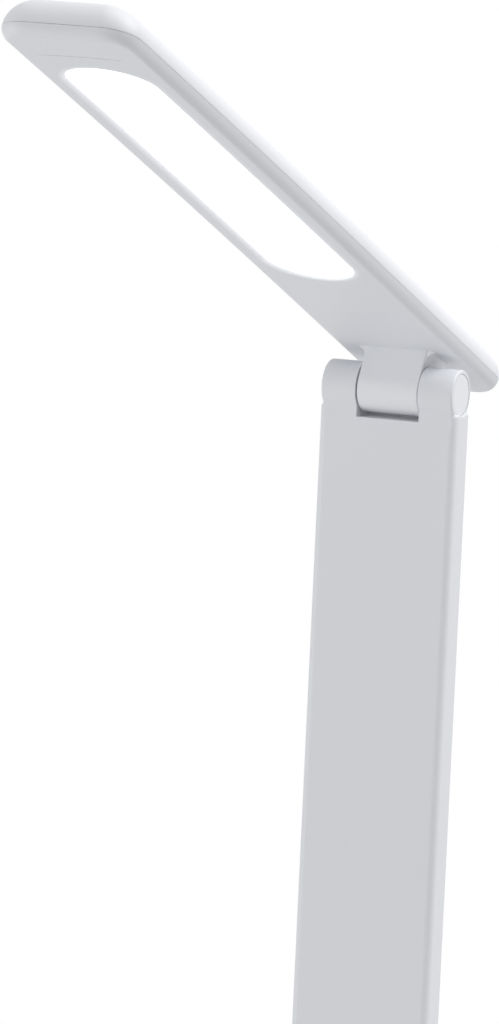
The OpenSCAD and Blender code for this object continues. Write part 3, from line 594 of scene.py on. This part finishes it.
def flare(name, sign, front, rear, height):
    """The fillet beside a neck, as a slice that follows the neck's front and rear."""
    inner_x = KNUCKLE_HALF - FLARE_ROOT
    arc = [(inner_x, height - FLARE_DOWN)]
    for k in range(15):
        t = math.radians(90 * k / 14)
        arc.append((KNUCKLE_HALF + FLARE_OUT * (1 - math.cos(t)),
                    height - FLARE_DOWN * (1 - math.sin(t))))
    arc += [(KNUCKLE_HALF + FLARE_OUT, height + FLARE_ROOT), (inner_x, height + FLARE_ROOT)]
    return loft(name, [[Vector((sign * x, y, z)) for x, z in arc]
                       for y in (FLARE_INSET - front, rear - FLARE_INSET)])


def flared_knuckle(name, front, rear, height):
    return joined(name, [knuckle("barrel", front, rear, height)]
                  + [flare("flare", side, front, rear, height) for side in (-1, 1)])


# Painted light: this white is lighter than the lamp's own white, so the hinge parts look brighter
# in their shade.
hinge_white_painted_lighter = grained("hinge_plastic_painted_lighter", (0.83, 0.84, 0.868), (0.82, 0.83, 0.86),
                      roughness=0.4, depth=SATIN_GRAIN)
head_knuckle = flared_knuckle("head_knuckle_body", front=5.0, rear=6, height=UNDER)
place(head_knuckle, head_frame, hinge_white_painted_lighter, "head", "shell", "head_knuckle")

# %% [markdown]
# The arm is a flat bar with rounded long edges, which narrows by a fine step at both ends. A
# cube with bevelled edges could make the bar, but not the step.
# So the bar is lofted along its length: four rings for the step at each end, and nothing between.

# %% Arm bar
ARM_W, ARM_T, SHOULDER = 40.0, 10.4, 5.0
ARM_EDGE = 2.1


def bar_ring(inset, z):
    return at_z(rounded(ARM_W - 2 * inset, ARM_T - 2 * inset, ARM_EDGE - inset, steps=8), z)


shoulder = [(0.7, 0), (0.3, 0.12), (0.08, 0.4), (0, 0.8)]  # how far in, and how far up
low_end = [bar_ring(inset, SHOULDER + up_by) for inset, up_by in shoulder]
high_end = [[Vector((p.x, p.y, ARM_LEN - p.z)) for p in ring] for ring in low_end[::-1]]
arm = loft("arm_shell_body", low_end + high_end)
print("arm bar:", [round(v, 1) for v in arm.dimensions])

# %% [markdown]
# Each end of the arm has a pair of round ears that hold a knuckle between them. They are made in
# one piece across the arm, from their outline as it looks from the side, and a union joins them
# to the bar. The notch that parts the two ears is cut later.

# %% Ears
EAR_R, EAR_HALF, EAR_FOOT = 6.9, 19.1, 9


def ear_ring(x, inset):
    """The ears' outline from the side: round at the hinge, flat where it runs into the bar."""
    r, half = EAR_R - inset, ARM_T / 2 - inset
    meet = math.acos(half / r)
    points = [Vector((x, half, EAR_FOOT - inset))]
    for k in range(49):
        t = meet - (math.pi + 2 * meet) * k / 48
        points.append(Vector((x, r * math.cos(t), r * math.sin(t))))
    points.append(Vector((x, -half, EAR_FOOT - inset)))
    return points


def ears():
    edges = [(0, 0.55), (0.12, 0.28), (0.3, 0.1), (0.6, 0)]
    left = [ear_ring(-EAR_HALF + dx, inset) for dx, inset in edges]
    return loft("ears", left + [ear_ring(EAR_HALF - dx, inset) for dx, inset in edges[::-1]])


def at_top(obj):
    """Turns a piece made for the lower hinge over, for the upper hinge."""
    obj.data.transform(Matrix.Translation((0, 0, ARM_LEN)) @ Matrix.Scale(-1, 4, (0, 0, 1)))
    obj.data.flip_normals()
    return obj


boolean(arm, [ears(), at_top(ears())], "UNION")
print("arm with its ears:", [round(v, 1) for v in arm.dimensions])

# %% [markdown]
# A notch between the ears takes the knuckle, and each ear has a bearing for the shaft and a round
# recess for the cap. The arm is hollow for its lead, and a shallow pocket takes the rear cover.
# These are plain cuts, so blocks and rods make them. A small lip then closes the notch's floor at
# the back. All the new edges are broken last, in one go, so that they match.

# %% Notches, bearings, recesses and pocket
NOTCH_HALF, NOTCH_FLOOR, CLEAR = 9.1, 7.7, 9  # CLEAR is past the arm's surface
RECESS_R, RECESS_FROM, RECESS_TO = 5.75, 17.7, 20
BEARING_R, BEARING_FROM, BEARING_TO = 3.06, 8, 18
POCKET_HALF, POCKET_END, POCKET_FLOOR = 17.2, 16, 3.4
HOLLOW_HALF, HOLLOW_END, HOLLOW_FLOOR, PAST_BACK = 16.0, 17.2, -3.2, 7


def hinge_cutters():
    cutters = [box("notch", (-NOTCH_HALF, -CLEAR, -CLEAR), (NOTCH_HALF, CLEAR, NOTCH_FLOOR), 0.3)]
    for side in (-1, 1):
        cutters.append(rod("recess", RECESS_R, side * RECESS_FROM, side * RECESS_TO))
        cutters.append(rod("bearing", BEARING_R, side * BEARING_FROM, side * BEARING_TO))
    return cutters


def notch_lip():
    return box("lip", (-9.3, 3.2, 6.9), (9.3, 5.0, 8.2), 0.3)


pocket = box("pocket", (-POCKET_HALF, POCKET_FLOOR, POCKET_END),
             (POCKET_HALF, PAST_BACK, ARM_LEN - POCKET_END), 0.6)
hollow = box("hollow", (-HOLLOW_HALF, HOLLOW_FLOOR, HOLLOW_END),
             (HOLLOW_HALF, PAST_BACK, ARM_LEN - HOLLOW_END), 0.6)
boolean(arm, hinge_cutters() + [at_top(cutter) for cutter in hinge_cutters()] + [pocket, hollow])
boolean(arm, [notch_lip(), at_top(notch_lip())], "UNION")
bevelled(arm, width=0.18, segments=2, angle=50)
place(arm, arm_frame, white, "arm", "shell", "arm_shell")

# %% [markdown]
# Round caps hide the ends of the hinge shafts. Each is a thin disc with a rounded edge and a face
# that dips by less than a tenth of a millimetre. A flat disc would do from afar, but the dip and
# the edge give the cap the bright rim that a moulded cap has. It is a turned piece, so it is spun.

# %% Hinge caps
CAP_PROFILE = [(5.5, 17.7), (5.69, 17.8), (5.69, 18.78), (5.64, 18.93), (5.5, 19.0),
               (5.2, 19.02), (3.5, 18.98), (1.5, 18.95), (0.3, 18.94)]

for end_name, z in (("lower", 0.0), ("upper", ARM_LEN)):
    discs = [turned("cap", [(r, side * x) for r, x in CAP_PROFILE], "X", (0, 0, z))
             for side in (-1, 1)]
    place(joined(end_name + "_hinge_cap_discs", discs), arm_frame, hinge_white_painted_lighter,
          "arm", "shell", end_name + "_hinge_caps")

# %% [markdown]
# A long flat cover closes the arm's back over the lead, with a seat and a hole for each of its
# four screws. It could be a stack of rings like the arm, but it is plain enough for a block with
# its edges rounded by a Bevel modifier. The holes come last, so the screws' seats stay crisp.

# %% Rear cover
COVER_GAP, COVER_FACE, SCREW_MARGIN = 0.1, 5.2, 20
HOLES = [(2.3, 3.9, 6), (1.25, 3, 6)]  # radius, start and end of the seat and of the hole

cover_low, cover_high = POCKET_END + COVER_GAP, ARM_LEN - POCKET_END - COVER_GAP
screw_pitch = (ARM_LEN - 2 * POCKET_END - 2 * SCREW_MARGIN) / 3
screw_heights = [POCKET_END + SCREW_MARGIN + k * screw_pitch for k in range(4)]
arm_cover = box("arm_cover_panel", (-POCKET_HALF + COVER_GAP, POCKET_FLOOR, cover_low),
                (POCKET_HALF - COVER_GAP, COVER_FACE, cover_high), 0.1)
bevelled(arm_cover, width=0.35, segments=3, angle=40)
boolean(arm_cover, [rod("hole", r, start, end, "Y", (0, 0, z), 32)
                    for z in screw_heights for r, start, end in HOLES])
place(arm_cover, arm_frame, white, "arm", "shell", "arm_cover")

# %% [markdown]
# The screws are small domed ones with a cross recess. A thread would never be seen, because the
# shank sits in the plastic, so it is left plain. The head is spun, and two thin blocks cut the
# cross. Their steel is a metal with a fine grain that is drawn out, as on rolled wire.

# %% Screws
SCREW_TOP, SCREW_LEN, SLOT_LONG, SLOT_WIDE = 5.1, 5.8, 1.25, 0.26


def screw(x, y, z, length):
    """A screw along -y whose head's top is at y."""
    profile = [(0.9, 0.0), (1.6, -0.05), (2.0, -0.2), (2.2, -0.5), (2.2, -1.15), (1.2, -1.2),
               (1.2, -length - 1.0), (0.8, -length - 1.2)]
    body = turned("screw", profile, "Y", (x, y, z), 28)
    cross = [box("slot", (x - a, y - 0.7, z - b), (x + a, y + 1, z + b), 0.05)
             for a, b in ((SLOT_LONG, SLOT_WIDE), (SLOT_WIDE, SLOT_LONG))]
    return boolean(body, cross)


steel = grained("bright_steel", (0.62, 0.62, 0.63), (0.54, 0.54, 0.55), roughness=0.28,
                grain=900, depth=0.000006, metal=1.0, stretch=(1, 1, 6))
arm_screws = joined("arm_screw_set",
                    [screw(0, SCREW_TOP, z, SCREW_LEN) for z in screw_heights])
place(arm_screws, arm_frame, steel, "arm", "steel", "arm_screws")

# %% [markdown]
# The base cover is a low box with a large rounding all round, hollow from below. It could be a
# bevelled cube, but rings keep its wall even on the inside as well.
# Its top has a close opening for the hinge block and a round one for the button, and the inlet
# comes out at its back.

# %% Base cover
BASE_W, BASE_D, BASE_H, BASE_R = 118.0, 176.0, 20.0, 24.0
BASE_WALL, BASE_EDGE, BASE_RIM = 2.2, 5, 1.5
BLOCK_W, BLOCK_D, BLOCK_R, BLOCK_GAP = 40, 15, 3, 0.1
BUTTON_AT, INLET_AT = (0, -62, 0), (30, 0, 9.3)
BUTTON_HOLE, INLET_HOLE = 8.15, 4
TOP_CUT, BACK_CUT = (14, 24), (83, 90)  # where the cutters start and end


def base_ring(inset, z):
    return at_z(rounded(BASE_W - 2 * inset, BASE_D - 2 * inset, BASE_R - inset, steps=16), z)


def base_wall(wall, steps):
    """The rings of the round top edge, drawn in by a wall's thickness."""
    rings = []
    for i in range(steps + 1):
        t = math.radians(90 * i / steps)
        rings.append(base_ring(wall + BASE_EDGE * (1 - math.cos(t)),
                               BASE_H - BASE_EDGE - wall + BASE_EDGE * math.sin(t)))
    return rings


foot_rim = [base_ring(0.5, BASE_RIM), base_ring(0.15, 1.65), base_ring(0, 2.0)]
base_cover = loft("base_cover_skin",
                  (foot_rim + base_wall(0, 12))[::-1] + [base_ring(BASE_WALL, BASE_RIM)]
                  + base_wall(BASE_WALL, 6))
opening = rounded(BLOCK_W + 2 * BLOCK_GAP, BLOCK_D + 2 * BLOCK_GAP, BLOCK_R + BLOCK_GAP,
                  LOWER_HINGE.y)
boolean(base_cover, [loft("block_hole", [at_z(opening, z) for z in TOP_CUT]),
                     rod("button_hole", BUTTON_HOLE, *TOP_CUT, "Z", BUTTON_AT, 64),
                     rod("inlet_hole", INLET_HOLE, *BACK_CUT, "Y", INLET_AT, 32)])
bevelled(base_cover, width=0.25, segments=2, angle=60)
place(base_cover, base_frame, white, "base", "shell", "base_cover")

# %% [markdown]
# The hinge block carries the lower knuckle. Its foot is wider than the opening, so it is held
# from inside the base. The block and its foot are stacks of rings, and the knuckle is the same
# outline as the head's, turned upside down.
# Turning a mesh over with a negative scale turns it inside out, so its normals are flipped back.

# %% Hinge block
BLOCK_TOP = [(0, 17.8), (0, 33.8), (0.2, 34.3), (0.45, 34.6), (0.9, 34.8)]  # inset and height
FOOT_W, FOOT_D, FOOT_HEIGHTS = 56, 26, (8.5, 17.7)

block_frame = Matrix.Translation(LOWER_HINGE) @ Matrix.Scale(-1, 4, (0, 0, 1))
block = loft("block", [at_z(rounded(BLOCK_W - 2 * inset, BLOCK_D - 2 * inset, BLOCK_R - inset,
                                    LOWER_HINGE.y, 8), z) for inset, z in BLOCK_TOP])
block_foot = loft("foot", [at_z(rounded(FOOT_W, FOOT_D, BLOCK_R, LOWER_HINGE.y, 8), z)
                           for z in FOOT_HEIGHTS])
lower_knuckle = flared_knuckle("lower_knuckle", front=6, rear=6, height=8.2)
lower_knuckle.data.transform(block_frame)
lower_knuckle.data.flip_normals()
hinge_post = joined("hinge_post_body", [block, block_foot, lower_knuckle])
place(hinge_post, base_frame, hinge_white_painted_lighter, "base", "shell", "hinge_post")

# %% [markdown]
# The power button is a round cap with a flange that keeps it from falling out and a pin that
# presses the switch. Its face dips a little, to guide the finger. It is spun like a turned knob,
# and its plastic is glossier than the base's, so that it can be found at a glance.

# %% Power button
BUTTON_PROFILE = [(9.5, 16.5), (9.5, 17.7), (8.0, 17.7), (8.0, 20.3), (7.85, 20.65),
                  (7.5, 20.85), (7.0, 20.9), (5.0, 20.72), (2.5, 20.6), (0.3, 20.57)]
PIN_ENDS = (15.9, 17)

button_white = grained("button_plastic", (0.81, 0.823, 0.852), (0.8, 0.812, 0.842),
                       roughness=0.3, coat=0.2)
button = joined("power_button_cap",
                [turned("button", BUTTON_PROFILE, "Z", BUTTON_AT, 64),
                 rod("pin", 2, *PIN_ENDS, "Z", BUTTON_AT, 40)])
place(button, base_frame, button_white, "button", "button", "power_button")

# %% [markdown]
# A rubber pad under the base keeps the lamp from sliding. It is a sheet with a small chamfer at
# its lower edge, three rings in all, in a dull dark rubber with a coarser grain than the plastic.

# %% Base pad
PAD_W, PAD_D, PAD_R = 110, 168, 20

rubber = grained("pad_rubber", (0.055, 0.055, 0.058), (0.04, 0.04, 0.043), roughness=0.8,
                 grain=1600, depth=0.00004)
pad = loft("base_pad_sheet",
           [at_z(rounded(PAD_W - 2 * inset, PAD_D - 2 * inset, PAD_R - inset), z)
            for inset, z in ((0.25, 0), (0, 0.25), (0, 1.5))])
place(pad, base_frame, rubber, "base", "pad", "base_pad")

# %% [markdown]
# The spring lifts the button again. A coil could be a curve with a round bevel, but a small
# circle that is spun while it climbs gives a closed mesh at once.
# The spring is pressed shorter when the button goes down.

# %% The spring under the button
COIL_TURNS, COIL_R, WIRE_R, COIL_LOW, COIL_HIGH = 4, 5.4, 0.35, 11.85, 16.05
STEPS_PER_TURN = 24

bm = bmesh.new()
wire_end = (Matrix.Translation((COIL_R, BUTTON_AT[1], COIL_LOW))
            @ Matrix.Rotation(math.radians(90), 4, "X"))
bmesh.ops.create_circle(bm, cap_ends=True, segments=10, radius=WIRE_R, matrix=wire_end)
coil_steps = STEPS_PER_TURN * COIL_TURNS
bmesh.ops.spin(bm, geom=bm.verts[:] + bm.edges[:] + bm.faces[:], cent=BUTTON_AT,
               axis=(0, 0, 1), dvec=(0, 0, (COIL_HIGH - COIL_LOW) / coil_steps),
               angle=COIL_TURNS * math.tau, steps=coil_steps, use_merge=False,
               use_duplicate=False)
spring = as_object("button_coil", bm)
place(spring, base_frame, steel, "base", "steel", "button_spring")
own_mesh(spring)

# %% [markdown]
# The power inlet is a round socket with a pin in its middle. Both are turned pieces on one axis.
# The socket is black plastic and the pin is bright steel, so they are two objects that stand in
# for the same CAD node.

# %% Power inlet
INLET_PROFILE = [(3.9, 76), (3.9, 88.0), (5.2, 88.0), (5.2, 88.75), (5.0, 89), (3.4, 89),
                 (3.1, 88.7), (3.1, 79.6)]
PIN_PROFILE = [(1, 79), (1, 88.4), (0.8, 88.7), (0.3, 88.85)]

dark = grained("dark_plastic", (0.03, 0.03, 0.032), (0.022, 0.022, 0.024), roughness=0.45)
inlet = turned("dc_socket_shell", INLET_PROFILE, "Y", INLET_AT, 40)
place(inlet, base_frame, dark, "base", "dark_plastic", "dc_socket")
pin = turned("dc_socket_pin", PIN_PROFILE, "Y", INLET_AT, 40)
place(pin, base_frame, steel, "base", "steel", "dc_socket")

# %% [markdown]
# The inner pieces are seen only when the lamp is taken apart. Their CAD shapes are good as they
# are, so each only gets the finish of the real thing: white light board with yellow chips, green
# control board, zinc-plated weight, bright steel and insulated leads.

# %% Materials for the CAD nodes that stay
inner = grained("inner_white", (0.86, 0.86, 0.86), (0.84, 0.84, 0.84), roughness=0.6)
lead_skin = grained("lead_insulation", (0.72, 0.72, 0.70), (0.66, 0.66, 0.64), roughness=0.5,
                    grain=1200)
black_lead = grained("dark_lead_insulation", (0.035, 0.035, 0.035), (0.025, 0.025, 0.025),
                     roughness=0.5, grain=1200)
zinc = grained("zinc_plate", (0.46, 0.47, 0.49), (0.36, 0.37, 0.39), roughness=0.42, grain=500,
               depth=0.00002, metal=1.0)
green_board = grained("board_green", (0.03, 0.16, 0.08), (0.02, 0.12, 0.06), roughness=0.35,
                      grain=700, coat=0.5)
white_board = grained("board_white", (0.82, 0.82, 0.80), (0.78, 0.78, 0.76), roughness=0.4,
                      grain=900)
chip = lit("led_phosphor", (1.0, 0.85, 0.3), strength=0.6, tint=(1.0, 0.75, 0.2))

finishes = [
    (white, "base_plate"),
    (inner, "reflector_frame"),
    (white_board, "led_board"),
    (chip, "leds"),
    (green_board, "control_board"),
    (zinc, "ballast_plate"),
    (dark, "board_parts tact_switch"),
    (black_lead, "socket_lead"),
    (lead_skin, "head_lead arm_lead base_lead"),
    (steel, "led_board_screws knuckle_plate knuckle_screws arm_stiffener base_screws "
            "ballast_screws post_screws board_screws socket_nut "
            "upper_hinge_shaft upper_hinge_washers upper_hinge_nut "
            "lower_hinge_shaft lower_hinge_washers lower_hinge_nut"),
]
kept = {name: material for material, names in finishes for name in names.split()}
for name, material in kept.items():
    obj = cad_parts[name]
    if not obj.material_slots:
        obj.data.materials.append(material)
    for s in obj.material_slots:
        s.material = material
left = [n for n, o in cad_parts.items() if not o.hide_render and n not in kept]
print("inner pieces with a finish:", len(kept), "shown without one:", left)

# %% [markdown]
# A studio's white paper fills the background. Real paper that bright would also light the lamp
# and wash out its shades. So the surroundings show white to the camera, and in gloss and glass,
# but give off less when they light the lamp.

# %% What is seen of the surroundings
def seen(nodes, links):
    """One where the camera, gloss or glass looks at the surroundings, and zero otherwise."""
    rays = nodes.new("ShaderNodeLightPath")
    total = rays.outputs["Is Camera Ray"]
    for name in ("Is Glossy Ray", "Is Transmission Ray"):
        either = nodes.new("ShaderNodeMath")
        either.operation = "MAXIMUM"
        links.new(total, either.inputs[0])
        links.new(rays.outputs[name], either.inputs[1])
        total = either.outputs[0]
    return total

# %% [markdown]
# The floor is pale and plain close to the lamp, where it takes the shadow. Further out it melts
# into the white background. A large curved sheet could do the same, but a fade by the distance
# from the middle leaves no visible edge from any side.

# %% Floor
FLOOR_R, FLOOR_TOP, FLOOR_DEEP = 1.6, -0.0002, 0.01  # metres
FADE_FROM, FADE_TO, FAR_FLOOR = 0.2, 0.44, 0.64

floor = rod("floor", FLOOR_R, FLOOR_TOP - FLOOR_DEEP, FLOOR_TOP, "Z", steps=96)
material, nodes, links, shader = nodes_of("pale_floor")
shader.inputs["Base Color"].default_value = (0.86, 0.86, 0.86, 1)
shader.inputs["Roughness"].default_value = 0.7
material.cycles.emission_sampling = "NONE"
where = nodes.new("ShaderNodeTexCoord")
distance = nodes.new("ShaderNodeVectorMath")
distance.operation = "LENGTH"
links.new(where.outputs["Object"], distance.inputs[0])
fade = nodes.new("ShaderNodeMapRange")
fade.interpolation_type = "SMOOTHSTEP"
fade.inputs["From Min"].default_value = FADE_FROM
fade.inputs["From Max"].default_value = FADE_TO
links.new(distance.outputs["Value"], fade.inputs["Value"])
level = nodes.new("ShaderNodeMapRange")
level.inputs["To Min"].default_value = FAR_FLOOR
level.inputs["To Max"].default_value = 1.0
links.new(seen(nodes, links), level.inputs["Value"])
far_floor = nodes.new("ShaderNodeEmission")
links.new(level.outputs["Result"], far_floor.inputs["Strength"])
mixed = nodes.new("ShaderNodeMixShader")
links.new(fade.outputs["Result"], mixed.inputs["Fac"])
links.new(shader.outputs["BSDF"], mixed.inputs[1])
links.new(far_floor.outputs["Emission"], mixed.inputs[2])
links.new(mixed.outputs["Shader"], nodes["Material Output"].inputs["Surface"])
floor.data.materials.append(material)
print("floor:", FLOOR_R, "m in radius, white from", FADE_TO, "m on")

# %% [markdown]
# Most of the light is the soft white room itself, which reaches every side of the lamp and keeps
# the shadows open. A bright dome alone would look flat, so it stays dim and panels do the rest.

# %% Room light
ROOM = 0.378

world = bpy.data.worlds.new("studio")
bpy.context.scene.world = world
world.use_nodes = True
nodes, links = world.node_tree.nodes, world.node_tree.links
room = nodes["Background"]
room.inputs["Color"].default_value = (1, 1, 1, 1)
room.inputs["Strength"].default_value = ROOM
plain = nodes.new("ShaderNodeBackground")
plain.inputs["Color"].default_value = (1, 1, 1, 1)
plain.inputs["Strength"].default_value = 1.0
mix = nodes.new("ShaderNodeMixShader")
links.new(seen(nodes, links), mix.inputs["Fac"])
links.new(room.outputs["Background"], mix.inputs[1])
links.new(plain.outputs["Background"], mix.inputs[2])
links.new(mix.outputs["Shader"], nodes["World Output"].inputs["Surface"])
print("room light:", ROOM)

# %% [markdown]
# Four large square panels shape the lamp, as softboxes do. The right one brightens the sides of
# the arm and the head, the left one the underside, and the weak front and top ones fill in.
# Small lamps would draw hard shadows, so the panels are wide.

# %% Panels
LAMP_MIDDLE = (0, 0.05, 0.25)  # metres


def panel(name, stands_at, size, power):
    light = bpy.data.lights.new(name, "AREA")
    light.shape, light.size, light.energy = "SQUARE", size, power
    obj = bpy.data.objects.new(name, light)
    bpy.context.scene.collection.objects.link(obj)
    obj.location = stands_at
    aim = Vector(LAMP_MIDDLE) - Vector(stands_at)
    obj.rotation_euler = aim.to_track_quat("-Z", "Y").to_euler()
    obj.visible_camera = False
    print(name, size, "m,", power, "W")


panel("right_panel", (1.18, 0.77, 1.56), 0.7, 19.2)
panel("left_panel", (-1.43, -1.13, 0.12), 0.7, 11.2)
panel("front_panel", (0.25, -1.9, 1.15), 0.8, 4.2)
panel("top_panel", (0.2, 0.3, 1.8), 0.9, 7)

# %% [markdown]
# A filmic view would bend the tones and grey the white. The Standard view shows each colour as it
# is written, so the plastic's white can be set by its own number.

# %% Colours as they are
bpy.context.scene.view_settings.view_transform = "Standard"
